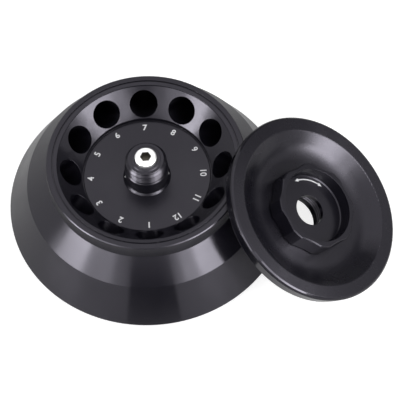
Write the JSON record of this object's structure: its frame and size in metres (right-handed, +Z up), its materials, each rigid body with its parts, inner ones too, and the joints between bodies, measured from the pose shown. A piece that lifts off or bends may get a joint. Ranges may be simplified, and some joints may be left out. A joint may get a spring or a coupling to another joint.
{
  "type": "fixed angle rotor",
  "caption": "Fixed angle centrifuge rotor with slanted tube bores and a threaded centre spigot, its lid with a scalloped knob leaning against it.",
  "frame": {"origin": "centre of the shaft bore at the rotor's foot plane", "axes": "+Z up the rotor's spin axis; +X to the side the lid leans on; -Y towards the front, where bore 1 is"},
  "size_m": [0.2296, 0.1724, 0.072],
  "materials": {
    "anodised_black": "satin black anodised, fine turned",
    "anodised_spigot": "satin black anodised, threaded",
    "anodised_lid": "satin black anodised, fine turned",
    "anodised_knob": "satin black anodised",
    "turned_steel": "turned",
    "bright_screw": "bright plated",
    "spring_steel": "blackened spring steel",
    "seal_rubber": "nitrile",
    "slip_plastic": "low friction plastic",
    "print_white": "white print"
  },
  "bodies": {
    "rotor": {"rotor_body": "anodised_black", "drive_bush": "turned_steel", "lid_spigot": "anodised_spigot", "spigot_pins": "turned_steel", "spigot_seal": "seal_rubber", "screw_washer": "turned_steel", "lid_disc": "anodised_lid", "rim_seal": "seal_rubber", "knob_seal": "seal_rubber", "knob_washer": "slip_plastic", "slip_washer": "slip_plastic"},
    "screw": {"fixing_screw": "bright_screw", "screw_clip": "spring_steel"},
    "knob": {"lid_knob": "anodised_knob", "knob_clip": "spring_steel"}
  },
  "joints": [
    {"name": "screw_turn", "type": "hinge", "parent": "rotor", "child": "screw", "pos_m": [0, 0, 0.0559], "axis": [0, 0, 1], "continuous": true},
    {"name": "knob_turn", "type": "hinge", "parent": "rotor", "child": "knob", "pos_m": [0.09771, -0.03043, 0.03959], "axis": [0.5563, -0.1209, 0.8221], "continuous": true}
  ]
}
